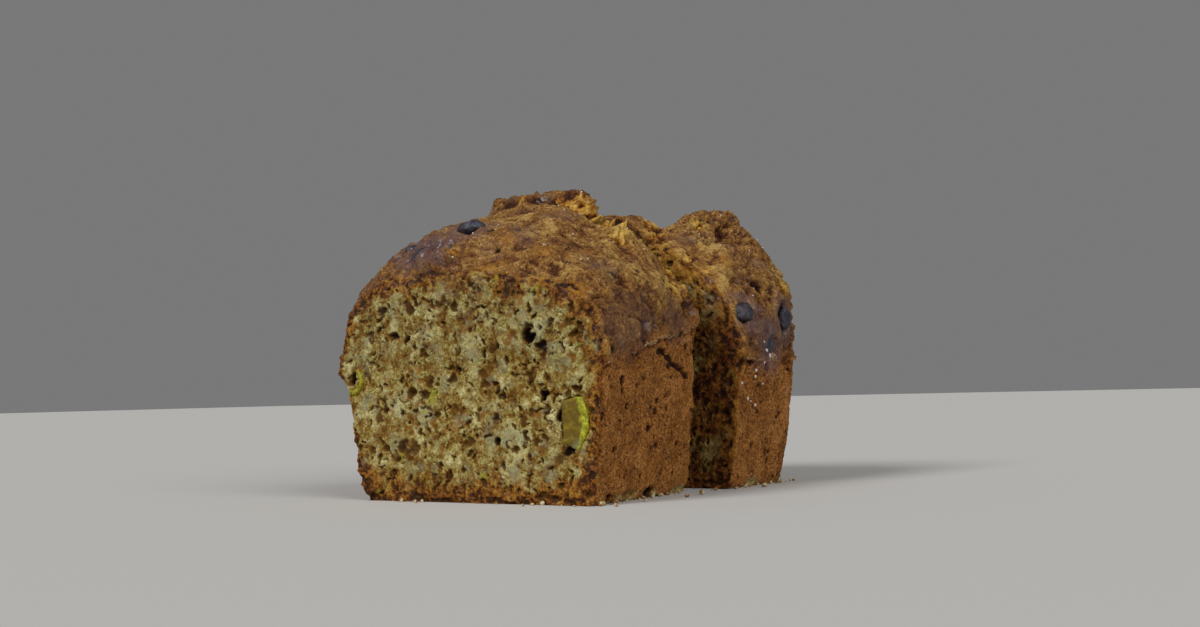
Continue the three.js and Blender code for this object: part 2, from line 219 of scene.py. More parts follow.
class Paint:
    def __init__(self, name):
        self.material = bpy.data.materials.new(name)
        self.material.use_nodes = True
        self.tree = self.material.node_tree
        self.surface = self.tree.nodes["Principled BSDF"]
        self.place = self.node("ShaderNodeTexCoord", output="Object")

    def node(self, kind, settings=None, inputs=None, output=0):
        made = self.tree.nodes.new(kind)
        for key, value in (settings or {}).items():
            if key == "stops":
                while len(made.color_ramp.elements) < len(value):
                    made.color_ramp.elements.new(0.5)
                for element, (position, colour) in zip(made.color_ramp.elements, value):
                    element.position = position
                    element.color = colour
            else:
                setattr(made, key, value)
        for key, value in (inputs or {}).items():
            self.plug(made.inputs[key], value)
        return Wire(self, made.outputs[output])

    def plug(self, socket, value):
        if isinstance(value, Wire):
            self.tree.links.new(value.socket, socket)
        else:
            socket.default_value = value

    def set(self, **values):
        for key, value in values.items():
            self.plug(self.surface.inputs[key.replace("_", " ")], value)

    def noise(self, size, detail=3, rough=0.55, twist=0, stretch=None):
        place = self.place
        if stretch:
            place = self.node("ShaderNodeMapping", inputs={"Vector": place, "Scale": stretch})
        values = {"Vector": place, "Scale": 1 / (size * mm), "Detail": detail}
        values.update(Roughness=rough, Distortion=twist)
        return self.node("ShaderNodeTexNoise", inputs=values)

    def cells(self, size, smooth):
        values = {"Vector": self.place, "Scale": 1 / (size * mm), "Smoothness": smooth}
        return self.node("ShaderNodeTexVoronoi", {"feature": "SMOOTH_F1"}, values, "Distance")

    def attribute(self, name):
        return self.node("ShaderNodeAttribute", {"attribute_name": name}, output="Fac")

    def ramp(self, value, *stops):
        return self.node("ShaderNodeValToRGB", {"stops": stops}, {"Fac": value})

    def blend(self, share, first, second, kind="MIX"):
        settings = {"data_type": "RGBA", "blend_type": kind}
        return self.node("ShaderNodeMix", settings, {0: share, 6: first, 7: second}, 2)

    def bump(self, height, distance, strength=1.0, under=None):
        inputs = {"Height": height, "Distance": distance * mm, "Strength": strength}
        if under:
            inputs["Normal"] = under
        return self.node("ShaderNodeBump", inputs=inputs)


# The loaf's own frame: x from the middle of the front piece's base, y from its cut
frontFoot = coordinates(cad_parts["front_piece"].data)
frontFoot = frontFoot[frontFoot[:, 2] < 0.05 * mm]
loafOrigin = np.array([(frontFoot[:, 0].min() + frontFoot[:, 0].max()) / 2, frontFoot[:, 1].min(), 0])
print("loaf origin", loafOrigin)

# The camera stands low, at the loaf's front right, and looks a little up
camera = {
    "place": (243.1, -330.7, 31.9),
    "turn": math.radians(31),
    "pitch": math.radians(3.39),
    "roll": math.radians(-1.27),
    "lens": 40.73,
    "sensor": 36,
}


def makeCamera():
    data = bpy.data.cameras.new("camera")
    data.lens = camera["lens"]
    data.sensor_width = camera["sensor"]
    data.clip_start = 0.01
    thing = bpy.data.objects.new("camera", data)
    scene.collection.objects.link(thing)
    spin = Matrix.Rotation(camera["turn"], 4, "Z") @ Matrix.Rotation(math.pi / 2 + camera["pitch"], 4, "X")
    spin = spin @ Matrix.Rotation(camera["roll"], 4, "Z")
    place = Vector(loafOrigin) + Vector(camera["place"]) * mm
    thing.matrix_world = Matrix.Translation(place) @ spin
    scene.camera = thing


makeCamera()
print("camera made")


# Tones of the crumb, the walls, the dome and the torn batter
bakedTones = {
    "crumbPale": tone(220, 210, 150),
    "crumbMid": tone(154, 134, 68),
    "crumbGold": tone(122, 82, 12),
    "crumbGrey": tone(146, 148, 114),
    # The darkest crumb brown, also painted shade in pores and hollows, and near-black painted shade deep in
    # pores, holes and cracks
    "poreWall": tone(94, 60, 6),
    "poreShade": tone(34, 12, 0),
    "amber": tone(140, 88, 20),
    "purple": tone(92, 62, 44),
    "greenish": tone(160, 152, 36),
    "crustEdge": tone(128, 71, 6),
    "crustEdgeDark": tone(40, 11, 0),
    "bandGold": tone(186, 138, 50),
    "wallLight": tone(201, 141, 76),
    "wallMid": tone(151, 94, 34),
    "wallDark": tone(92, 48, 8),
    "wallSpeck": tone(46, 20, 2),
    # Burnt spots of the dome, and painted shade in its hollows
    "domeBurnt": tone(72, 34, 6),
    "domeViolet": tone(112, 71, 40),
    "domeBrown": tone(134, 88, 38),
    "domeGold": tone(162, 118, 58),
    "domePale": tone(202, 164, 100),
    "ember": tone(184, 122, 32),
    "stain": tone(104, 80, 84),
    "violet": tone(112, 82, 74),
    "gilt": tone(196, 162, 82),
    "tearPale": tone(226, 188, 96),
    "tearGold": tone(180, 117, 28),
    "tearBrown": tone(114, 61, 6),
    "rimPale": tone(214, 184, 138),
    # Multiplied into the rear cut's crumb: painted shade in the gap between the pieces
    "dusk": tone(176, 140, 110),
}

# Small spots on each surface: the noise's size, detail, roughness and twist, where it starts
# and is full, the share of the tone, and the tone
bakedSpots = {
    "crumb": [
        ((4.2, 2, 0.5, 0.5), (0.58, 0.68), 0.7, "amber"),
        ((3.6, 2, 0.5, 1.1), (0.69, 0.75), 0.6, "greenish"),
        ((3.1, 2, 0.5, 2.3), (0.66, 0.72), 0.5, "purple"),
    ],
    "wall": [
        ((1.5, 2, 0.5, 0), (0.60, 0.70), 0.7, "wallSpeck"),
        ((0.6, 2, 0.6, 0.2), (0.56, 0.66), 0.8, "wallSpeck"),
        ((0.8, 2, 0.5, 0.3), (0.67, 0.73), 0.7, "rimPale"),
    ],
    "dome": [
        ((3.2, 3, 0.6, 1.2), (0.60, 0.68), 0.4, "ember"),
        ((1.7, 3, 0.6, 0.6), (0.64, 0.72), 0.55, "domeBurnt"),
        ((0.7, 2, 0.6, 0.8), (0.58, 0.66), 0.5, "domeBurnt"),
    ],
}

# What each point of the baked pieces carries, from 0 to 1
bakedMarks = (
    "crumb", "sunk", "pore", "high", "violet", "gilded", "ember", "band",
    "pale", "tint", "dusk", "tear", "dome", "rim", "clod", "stain",
)


# The marks, and the noises that several colours share
def bakedLayers(paint):
    on = SimpleNamespace(**{mark: paint.attribute(mark) for mark in bakedMarks})
    # How far a point lies in a hollow: the colours darken hollows and lighten crests with it, as painted
    # shade and light
    on.low = on.sunk - 0.5
    on.speck = paint.noise(0.7, 3, 0.7)
    on.fine = paint.noise(0.9, 3, 0.7, 0.3)
    on.fleck = paint.noise(2.2, 4, 0.65, 0.6)
    on.fibre = paint.noise(3.0, 6, 0.74, 0.8, (0.62, 1, 0.85))
    on.moist = paint.noise(6.5, 3, 0.6, 0.8)
    on.patch = paint.noise(8, 3, 0.6, 0.4)
    on.broad = paint.noise(13, 3, 0.55, 0.8)
    return on


def bakedRamp(paint, value, **places):
    return paint.ramp(value, *((place, bakedTones[name]) for name, place in places.items()))


def spotted(paint, colour, kind):
    for cloud, reach, share, name in bakedSpots[kind]:
        colour = paint.blend(paint.noise(*cloud).above(*reach) * share, colour, bakedTones[name])
    return colour


# Crumb: pale clods with golden gaps, and a few tinted spots. Painted shade and light: its hollows are darker
# and its crests paler
def crumbColour(paint, on):
    t = bakedTones
    mottle = on.clod * 0.34 + on.patch * 0.80 + on.fleck * 0.56 + on.speck * 0.62
    mottle = mottle - on.low * 0.38 - on.band * 0.18 - 0.65
    colour = bakedRamp(paint, mottle, poreWall=0.28, crumbGold=0.41, crumbMid=0.54, crumbPale=0.78)
    colour = paint.blend(on.moist.above(0.54, 0.68) * 0.5, colour, t["crumbGrey"])
    colour = spotted(paint, colour, "crumb")
    colour = paint.blend(on.pale * (0.2 + on.clod * 0.25), colour, t["crumbPale"])
    colour = paint.blend(on.pale * on.fleck.above(0.42, 0.58) * 0.6, colour, t["crumbGrey"])
    return paint.blend(on.tint * (0.35 + on.speck * 0.7), colour, t["greenish"])


# The browned band of a cut and the darker rind at its edge: crumbly gold, orange and dark brown, darkest in
# hollows as painted shade
def brownedColours(paint, on):
    crumbly = on.clod * 0.35 + on.speck * 0.7 + on.fleck * 0.45 - on.low * 0.6
    crumbly = crumbly + on.gilded * 0.14 + on.ember * 0.1 - 0.25
    gold = bakedRamp(paint, crumbly, crustEdgeDark=0.36, crustEdge=0.49, bandGold=0.68)
    rind = bakedRamp(paint, crumbly, crustEdgeDark=0.43, crustEdge=0.57, bandGold=0.80)
    return gold, rind


def cutColour(paint, on, gold, rind):
    t = bakedTones
    colour = crumbColour(paint, on)
    colour = paint.blend(on.band.above(0.1, 0.7) * (0.3 + on.fleck), colour, gold)
    colour = paint.blend(on.band.above(0.70, 0.95) * 0.85, colour, rind)
    # Painted shade in the cut's hollows and pores, darkest in deep pores
    colour = paint.blend(on.sunk.above(0.62, 0.95) * 0.6, colour, t["poreWall"])
    colour = paint.blend(on.pore.above(0.05, 0.45) * 0.85, colour, t["poreWall"])
    colour = paint.blend(on.pore.above(0.55, 1.0), colour, t["poreShade"])
    # Painted shade in the gap between the pieces: the rear cut is darkened, less near its top
    return paint.blend(on.dusk * 0.65, colour, t["dusk"], "MULTIPLY")


# Side walls: tan skin, cloudy, with fine dark and pale specks, and hollows darkened as painted shade
def wallColour(paint, on):
    mix = on.patch * 0.42 + on.fleck * 0.2 + on.speck * 0.85 - on.low * 0.3 - 0.235
    return spotted(paint, bakedRamp(paint, mix, wallDark=0.34, wallMid=0.5, wallLight=0.70), "wall")


# Dome: fibrous skin from burnt through violet and brown to pale gold. Painted shade and light: its hollows
# are darker and its crests paler
def domeColour(paint, on):
    mix = on.broad * 0.26 + on.fibre * 0.54 + on.fine * 0.56 + on.speck * 0.48 + on.high * 0.04
    mix = mix + on.clod * 0.14 - on.low * 0.22 - 0.54 - on.violet * 0.03 + on.gilded * 0.09
    places = {"domeBurnt": 0.34, "domeViolet": 0.42, "domeBrown": 0.49, "domeGold": 0.57, "domePale": 0.68}
    colour = spotted(paint, bakedRamp(paint, mix, **places), "dome")
    # Deep hollows of the dome get its darkest tone: painted shade
    return paint.blend(on.sunk.above(0.70, 0.98) * 0.5, colour, bakedTones["domeBurnt"])


# Torn batter of the burst: open, crumbly and golden, with its hollows darkened as painted shade
def tornColour(paint, on):
    mix = on.clod * 0.4 + on.fibre * 0.6 + on.fine * 0.55 - on.low * 0.4
    mix = mix + on.gilded * 0.12 - on.violet * 0.30 - 0.28
    return bakedRamp(paint, mix, domeBurnt=0.36, tearBrown=0.46, tearGold=0.56, tearPale=0.74)


def crustColour(paint, on, rind):
    t = bakedTones
    colour = paint.blend(on.dome, wallColour(paint, on), domeColour(paint, on))
    colour = paint.blend(on.gilded * on.fibre.above(0.42, 0.58) * 0.3, colour, t["gilt"])
    colour = paint.blend(on.ember * on.fibre.above(0.36, 0.56) * 0.55, colour, t["ember"])
    colour = paint.blend(on.violet * on.dome * 0.28, colour, t["violet"])
    colour = paint.blend(on.violet * (1 - on.dome) * 0.35, colour, t["stain"])
    colour = paint.blend(on.stain * (0.35 + on.fleck * 0.5), colour, t["stain"])
    colour = paint.blend(on.tear, colour, tornColour(paint, on))
    colour = paint.blend(on.rim.above(0.3, 0.9) * on.speck.above(0.40, 0.58) * 0.75, colour, t["rimPale"])
    colour = paint.blend(on.band.above(0.2, 0.9) * (0.35 + on.clod * 0.5), colour, rind)
    # Holes and cracks in the crust are darkened: painted shade in them
    return paint.blend(on.pore.above(0.15, 1.0) * 0.85, colour, t["poreShade"])


# Crust, crumb, wall and dome of the baked pieces, in one material
def makeBaked():
    paint = Paint("bakedBatter")
    on = bakedLayers(paint)
    gold, rind = brownedColours(paint, on)
    colour = paint.blend(on.crumb, crustColour(paint, on, rind), cutColour(paint, on, gold, rind))
    shine = on.dome * paint.noise(5, 3).above(0.44, 0.62) * (0.5 + on.violet)
    wet = on.moist.above(0.50, 0.64) * on.crumb
    small = paint.bump(on.speck * 1.3 + paint.cells(1.1, 0.2) * 0.5, 0.4, 1.0)
    folds = paint.bump(on.fleck + on.dome * on.fibre * 1.2 + on.dome * on.fine * 0.8, 0.7, 0.85, small)
    paint.set(Base_Color=colour, Roughness=0.82 - on.crumb * 0.14, Normal=folds)
    paint.set(Coat_Weight=shine * 0.38 + wet * 0.2 + on.stain * 0.2)
    paint.set(Specular_IOR_Level=0.22, Coat_Roughness=0.28)
    return paint.material


baked = makeBaked()
print("baked material made")


# Dark dried fruit, a little larger or smaller than its pocket. The crust swells round it, and grips the
# larger ones.
darkFruit = {
    "pieces": {
        1: {"grow": -0.5, "swell": 0.8},
        2: {"grow": 0.2, "swell": 0.5},
        3: {"grow": 0.1, "swell": 0.5},
        4: {"grow": 0.3, "swell": 0.5},
        5: {"grow": -0.4, "swell": 1.2},
        6: {"grow": -0.9, "swell": 1.5},
    },
    "skin": tone(40, 36, 46),
    "bloom": tone(64, 68, 84),
    "warm": tone(70, 44, 42),
}


def middleAndSpan(node):
    low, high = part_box(node)
    return (low + high) / 2, high - low


# The front piece's length, and the near corner and the direction of the rear piece's wall
frontLength = 58.5
rearTurn = math.radians(-4)
rearCorner = (49.5, 70.9)
rearAlong = (-math.sin(rearTurn), math.cos(rearTurn))

# How each piece of the loaf is cut, roughened and marked: millimetres in the loaf's frame.
# In a cut's plane, holes have x, z, width, height and depth, and pale and tinted spots x, z and size.
# Rags of torn crust, and violet, gilded and ember spots, have x, y, z and size. A bump also has its height.
# A gash has its width, its depth and its path. A hole in a wall has its way along the wall, its height
# and its radius.
frontLoaf = {
    "name": "frontLoaf",
    "node": "front_piece",
    "seed": 11.3,
    "fine": 1.0,
    "spread": 2.6,
    "cuts": [
        {
            "origin": (0, 0, 0),
            "inward": (0, 1, 0),
            "fineness": 3,
            "seed": 3,
            "pores": 1.0,
            "hollows": 6,
            "holes": [
                (19.2, 49.4, 3.8, 4.2, 3.6), (23.8, 46.6, 3.4, 3.0, 2.1), (-48.2, 38.4, 2.8, 3.6, 3.4),
                (24.8, 31.6, 2.4, 3.6, 2.8), (30.2, 25.8, 2.0, 4.0, 2.2), (32.0, 15.6, 3.6, 2.6, 2.6),
                (7.4, 18.7, 2.0, 2.6, 2.2), (-6.4, 40.4, 1.8, 3.4, 1.8), (-24.9, 33.6, 3.6, 4.2, 1.3),
                (-31.4, 51.4, 3.6, 2.4, 1.7), (-26.2, 50.2, 2.0, 3.8, 1.6), (-36.5, 59.5, 3.4, 2.2, 1.5),
                (-28.6, 27.7, 1.7, 2.3, 1.5), (-19.0, 45.0, 3.4, 2.2, 1.4), (36.9, 52.2, 2.2, 1.6, 1.6),
                (22.4, 27.6, 4.6, 0.9, 1.2), (-27.6, 18.1, 1.7, 1.7, 1.3), (31.6, 46.0, 1.2, 3.6, 1.4),
                (11.5, 42.6, 1.6, 3.0, 1.3),
            ],
            "pale": [
                (12.6, 19.6, 4.4), (17.5, 54.5, 3.2), (-18.5, 52.5, 3.0), (-30.0, 30.0, 3.4),
                (-1.5, 44.5, 3.6), (14.0, 9.5, 3.8), (-20.0, 26.0, 3.0), (20.5, 62.6, 3.6),
                (2.0, 66.4, 3.8), (-13.0, 65.6, 3.8), (-31.0, 60.5, 2.2),
            ],
            "tint": [
                (-16.6, 31.6, 2.6), (-28.6, 14.0, 1.5), (-46.0, 35.4, 2.0), (1.6, 8.4, 1.2),
                (22.6, 63.6, 1.6), (8.0, 67.0, 1.6), (-14.0, 66.0, 1.5),
            ],
        },
        {"origin": (0, frontLength, 0), "inward": (0, -1, 0), "fineness": 1, "seed": 5, "pores": 0.5},
    ],
    "burst": [(-38, 49), (-20, 51), (-4, 50), (9, 52), (21, 56), (29, 61)],
    "tearWidth": 7,
    "rags": [
        (41, 50, 67, 6), (38, 56, 72, 5), (31, 58, 79, 6), (43, 54, 60, 4), (-12, 6, 77, 2.5),
        (14, 56.5, 89, 6), (20, 52, 86, 6), (25, 46, 83.5, 6), (28.5, 40, 81, 4.4),
    ],
    "rim": {"low": 40.5, "rise": 12.5},
    "violet": [
        (45, 18, 53, 11), (44, 45, 54, 9), (-18, 4, 73, 9), (-24, 10, 79, 9), (-43, 3, 66, 9),
        (-30, 26, 84, 10), (46, 10, 50, 9), (44, 57, 59, 5), (10, 34, 90, 8), (-50, 20, 58, 11),
        (-29, 50, 93, 9), (-12, 54, 99, 8), (2, 55, 100, 6), (11, 14, 80, 6), (0, 8.4, 76.8, 4),
        (7.4, 17.7, 82.7, 6), (36, 16.6, 70, 6), (-24.6, 55.7, 100, 5), (-20, 3, 72, 6),
    ],
    "gilded": [
        (23, 1, 66, 4), (28, 30, 79, 4), (-13, 6, 76, 4), (30, 7, 69, 5), (41, 48, 66, 9),
        (12, 20, 81, 7), (40, 36, 64, 6), (0, 8, 76, 4), (18, 44, 88, 6), (-2, 30, 88, 7),
        (4, 49.7, 95.5, 4), (22, 1.4, 67, 4), (22, 49, 85, 9), (27, 43, 82, 7), (27.6, 31, 79, 4),
        (32, 27.6, 75, 3), (16, 55, 90, 7), (30, 46, 80, 8), (38, 30, 70, 8), (39, 18, 70, 6),
        (42, 40, 64, 7), (-14, 6, 76, 4),
    ],
    "ember": [
        (20, 9.5, 74.4, 3.6), (5, 11, 79, 3.2), (28.6, 21.6, 75.8, 3.4), (33.5, 3, 64, 3.6),
        (7, 50.3, 93.5, 3.4), (4, 1, 71, 5), (-30, 1, 69, 6), (35, 2, 61, 4), (44, 56, 58, 5),
        (32, 22, 76, 2.4),
    ],
    "bumps": [
        (16, 55, 88.5, 5, 2.2), (22, 49.5, 85, 4.6, 2.3), (27, 43, 82.5, 4.4, 2.2),
        (12, 53.5, 93, 5, 2.8), (19, 54, 89, 6, 2.4), (25, 55, 85, 6, 1.6), (-10, 25, 88, 20, -0.6),
        (21, 8.5, 73, 4.5, 1.8), (-18, 4, 73, 6.5, 2.2), (-14, 6, 76, 4, 1.2), (7, 10, 78, 3.5, 1),
        (38, 22, 68, 6, 1), (14, 26, 83, 7, 1.2), (42.5, 57, 64, 3.2, 1.7), (39, 57.5, 70.5, 2.6, 1.2),
        (45, 57, 56.5, 3, 1.4), (45.5, 52, 47.5, 4, 1.2),
    ],
    "gashes": [
        (0.9, 1.4, [(38, 16.5, 68), (39.4, 17.6, 67)]),
        (0.8, 1.3, [(29.6, 1.2, 64), (33, 3.2, 64.4), (35.6, 3, 63.6)]),
        (0.5, 0.8, [(28.6, 18.6, 75.6), (31, 21, 74.4)]),
        (0.5, 0.7, [(26, 27, 80), (31, 32, 78), (36, 34, 73)]),
        (0.45, 0.5, [(40.4, 2.5, 58.4), (43.4, 10, 55.6), (44.6, 18, 54), (45, 27, 53.6)]),
        (0.4, 0.4, [(42, 22, 62), (44, 32, 58), (44.6, 41, 55.4)]),
        (1.3, 1.7, [(45.6, 34, 45.1), (45.4, 38.5, 43), (45.2, 43, 41), (44.8, 48, 39), (44.6, 53, 37)]),
        (0.6, 0.7, [(45.6, 22, 44.4), (46, 34, 47.2), (46, 46, 49.8), (46, 55, 52)]),
    ],
    "wall": {"corner": (41, 0), "along": (0, 1)},
    "wallHoles": [
        (12.2, 35.7, 1.1), (5.1, 44.6, 0.9), (34.6, 29.4, 0.7), (39.6, 30.5, 0.5), (9.6, 15, 0.5),
        (48.4, 15.7, 0.7), (44.9, 19.2, 0.5), (29.4, 15.5, 0.45), (43.1, 16.4, 0.4), (39.8, 8.6, 0.55),
        (26.2, 6.7, 0.6), (34, 37.8, 0.45), (33.1, 1.4, 1.5), (9, 1.2, 1.1), (2.6, 26, 0.5),
        (20, 24, 0.4), (17, 9.4, 0.45),
    ],
}
rearLoaf = {
    "name": "rearLoaf",
    "node": "rear_piece",
    "seed": 27.9,
    "fine": 0.5,
    "spread": 0,
    "cuts": [
        {
            "origin": (*rearCorner, 0),
            "inward": (*rearAlong, 0),
            "fineness": 2,
            "seed": 8,
            "pores": 1.1,
            # how much the crumb in the gap between the pieces is browned and darkened: painted shade
            "toast": 0.85,
        },
    ],
    "burst": [(27, 64), (22, 76), (12, 90), (6, 104)],
    "tearWidth": 4.5,
    "rags": [
        (50, 72.5, 69, 4), (44, 72.5, 74, 4), (36, 72.5, 78, 4), (53, 74, 62, 3), (31, 90, 93, 4),
        (55, 106, 68, 5),
    ],
    "rim": {"low": 42, "rise": 0},
    "violet": [
        (30, 81, 85, 5), (56.5, 84, 49, 11), (43, 89, 81, 5), (57, 105, 54, 7), (50, 95, 75, 5),
        (30, 110, 88, 12),
    ],
    "gilded": [
        (30, 72, 76, 6), (36, 71.8, 70, 5), (41, 71.6, 64, 5), (46, 71.4, 58, 4), (31, 90, 93, 6),
        (24, 74, 79, 5), (55, 75, 63, 5), (48, 74, 71, 7), (52, 110, 72, 7), (40, 84, 82, 6),
        (34, 72, 78, 4), (42, 72, 73, 4), (53, 73, 56, 3),
    ],
    "ember": [(24, 73, 78.5, 3), (45, 80, 74.6, 2.6), (57.3, 93, 57, 2), (52, 74, 66, 4)]
    + [(49.6 + 0.12 * height, 70.8, height, 2.3) for height in range(4, 62, 4)],
    "bumps": [
        (58, 104, 52, 16, -2.4), (42, 96, 90, 14, -1.9), (54, 100, 76, 14, -1.6), (45, 80, 74.6, 5, 1.2),
        (35, 93, 92, 12, -3.0), (36, 93, 91, 3.5, 0.8), (41, 96, 90, 6, -2.0),
        (43.7, 87.3, 79.7, 5, 1.6), (53, 98, 72, 6, 1),
    ],
    "gashes": [
        (0.9, 1.8, [(27, 73.2, 81.6), (27, 73.6, 79.4)]),
        (1.6, 2.6, [(53.3, 87.4, 67.8), (54.2, 88.6, 66)]),
        (0.9, 0.9, [(46.6, 97, 82.4), (47.6, 98, 81.4)]),
        (0.6, 0.8, [(49, 78, 69), (51, 83, 68)]),
    ],
    "wall": {"corner": rearCorner, "along": rearAlong},
    "wallHoles": [
        (1.6, 40.7, 1.4), (11.8, 13.9, 0.8), (23.7, 8.2, 1.0), (24, 6.6, 0.8), (32.2, 9.4, 0.8),
        (32.4, 7.8, 0.6), (20.6, 23.1, 0.5), (18.2, 38.8, 0.5), (8, 20, 0.4), (29, 30, 0.5),
        (14, 5, 0.5), (26, 17, 0.4),
    ],
}

# Relief of both pieces in millimetres, and how many holes, rounds and triangles it takes
relief = {
    "voxel": 1.25,
    "swells": 1.6,
    "lumps": 1.25,
    "wrinkles": 0.95,
    "fineWrinkles": 0.5,
    "cracks": 0.9,
    "pimples": 0.4,
    "wallGrain": 0.45,
    "tearRough": 1.0,
    "crags": 3.0,
    "crumbClods": 0.5,
    "cornerCrumble": 0.75,
    "rind": 2.4,  # how far the crust reaches in at a cut
    "bakedEnd": {"from": 108, "above": 22},  # the part that is smoothed once more
    "wallLean": {"out": 5, "up": 43},  # the slant of the tin's walls
    "pinHoles": 330,
    "pinRadii": (0.5, 0.55, 0.6, 0.6, 0.8, 1.0),
    "sunkRounds": 60,  # how often the surroundings are smoothed to tell what lies low
    "mostTriangles": 195000,
}


# In a cut's plane: across, up, and how deep a point lies behind it, in millimetres
def inCut(points, cut):
    inward = np.array(cut["inward"])
    across = np.array([inward[1], -inward[0], 0])
    away = (points - loafOrigin) / mm - np.array(cut["origin"])
    return away @ across, away[:, 2], away @ inward


# The outline of the cut, as half planes: distance inside it in millimetres
def insideOutline(x, z, deep):
    flat = np.stack([x, z], 1)
    rimPoints = flat[np.abs(deep) < 0.6]
    inside = np.full(len(flat), 1e9)
    for angle in np.linspace(0, 2 * math.pi, 120, endpoint=False):
        outward = np.array([math.cos(angle), math.sin(angle)])
        reach = np.percentile(rimPoints @ outward, 99.9)
        inside = np.minimum(inside, reach - flat @ outward)
    return inside


def crumbShare(x, z, deep, cut):
    edge = insideOutline(x, z, deep)
    skin = 1 - rise(0.7, 1.5, deep)
    within = (edge > relief["rind"]) & (deep < cut.get("hollows", 0))
    return np.maximum(skin, within), edge


# Opens pores of every size on a cut; big ones are few, small ones many
poreSizes = [
    {"each": 26, "radius": (0.9, 1.9), "depth": (0.8, 1.6)},
    {"each": 8.5, "radius": (0.5, 1.0), "depth": (0.6, 1.2)},
    {"each": 3.0, "radius": (0.3, 0.55), "depth": (0.35, 0.75)},
]


def poresOf(cut, lowX, highX, highZ):
    draw = random.Random(cut["seed"])
    found = []
    for kind in poreSizes:
        for _ in range(int((highX - lowX) * highZ / kind["each"] * cut["pores"])):
            centre = (draw.uniform(lowX, highX), draw.uniform(0.5, highZ))
            crowd = noise.noise(Vector((centre[0] / 9, cut["seed"], centre[1] / 9)))
            radius = draw.uniform(*kind["radius"])
            slim = draw.uniform(0.5, 1)
            found.append((centre, radius, radius * slim, draw.uniform(*kind["depth"]), draw.gauss(1.6, 0.7)))
            if draw.random() > 0.6 + 1.4 * crowd:
                found.pop()
    for x, z, wide, high, deep in cut.get("holes", []):
        found.append(((x, z), wide / 2 + 0.2, high / 2 + 0.2, deep, 0.0))
    return found


def openPores(x, z, edge, cut):
    flat = np.stack([x, np.full(len(x), cut["seed"] * 1.7), z], 1) * mm
    bent = warp(warp(flat, 2.4, 1.3, 2.0), 0.9, 0.6, 5.0) / mm
    x, z = bent[:, 0], bent[:, 2]
    tree = KDTree(len(x))
    for index in range(len(x)):
        tree.insert((x[index], z[index], 0), index)
    tree.balance()
    depth = np.zeros(len(x))
    for (atX, atZ), long, short, deep, lean in poresOf(cut, x.min(), x.max(), z.max()):
        cosine, sine = math.cos(lean), math.sin(lean)
        for place, index, _ in tree.find_range((atX, atZ, 0), max(long, short)):
            along = ((place.x - atX) * cosine + (place.y - atZ) * sine) / long
            aside = ((place.y - atZ) * cosine - (place.x - atX) * sine) / short
            part = along * along + aside * aside
            if part < 1:
                depth[index] = max(depth[index], deep * (1 - part) ** (0.5 if deep > 2 else 0.8))
    return depth * rise(0.3, 2.0, edge)


def spotsOn(points, x, z, spots):
    share = np.zeros(len(x))
    ragged = 1 + 1.1 * grain(points, 3.2, 4.0) + 0.7 * grain(points, 1.3, 24.0)
    for spotX, spotZ, size in spots:
        away = np.hypot(x - spotX, z - spotZ) * ragged / size
        share = np.maximum(share, 1 - rise(0.3, 1.2, away))
    return share


# The browned band inside a cut's outline: thin at the walls, wider below and under the dome
def brownBand(points, x, z, edge):
    wide = 3.2 + 5.4 * rise(50, 64, z) + 9 * (1 - rise(2, 20, z)) + 2.6 * rise(28, 38, x)
    uneven = 1 + 1.2 * grain(points, 5, 6.0) + 0.8 * grain(points, 1.8, 8.0)
    return 1 - np.clip(edge / (wide * uneven), 0, 1) ** 1.2


# Distance from a path of straight steps, in plan or in space
def fromPath(local, path):
    nearest = np.full(len(local), 1e9)
    for first, last in zip(path, path[1:]):
        step = np.array(last) - np.array(first)
        share = np.clip((local - first) @ step / (step @ step), 0, 1)
        nearest = np.minimum(nearest, np.linalg.norm(local - first - share[:, None] * step, axis=1))
    return nearest


# Share of each point that lies in one of some round spots: x, y, z and size of each
def patches(loaf, spots):
    share = np.zeros(len(loaf.local))
    for x, y, z, size in spots:
        away = np.linalg.norm(loaf.local - (x, y, z), axis=1) * loaf.ragged / size
        share = np.maximum(share, 1 - rise(0.45, 1.15, away))
    return share


# Pin-holes scattered over the crust, fewer on the dome, and the holes that the walls show
def crustHoles(loaf, spec, tree, draw):
    holes = []
    sites = np.flatnonzero(loaf.sound > 0.9)
    for _ in range(relief["pinHoles"]):
        index = draw.choice(sites)
        if draw.random() < 0.8 * loaf.dome[index]:
            continue
        radius = draw.choice(relief["pinRadii"])
        holes.append((Vector(loaf.local[index]), radius * draw.uniform(0.8, 1.2)))
    cornerX, cornerY = spec["wall"]["corner"]
    alongX, alongY = spec["wall"]["along"]
    for along, up, radius in spec["wallHoles"]:
        lean = up * relief["wallLean"]["out"] / relief["wallLean"]["up"]
        place = (cornerX + alongX * along + lean * alongY, cornerY + alongY * along - lean * alongX, up)
        holes.append((tree.find(place)[0], radius * 1.3))
    return holes


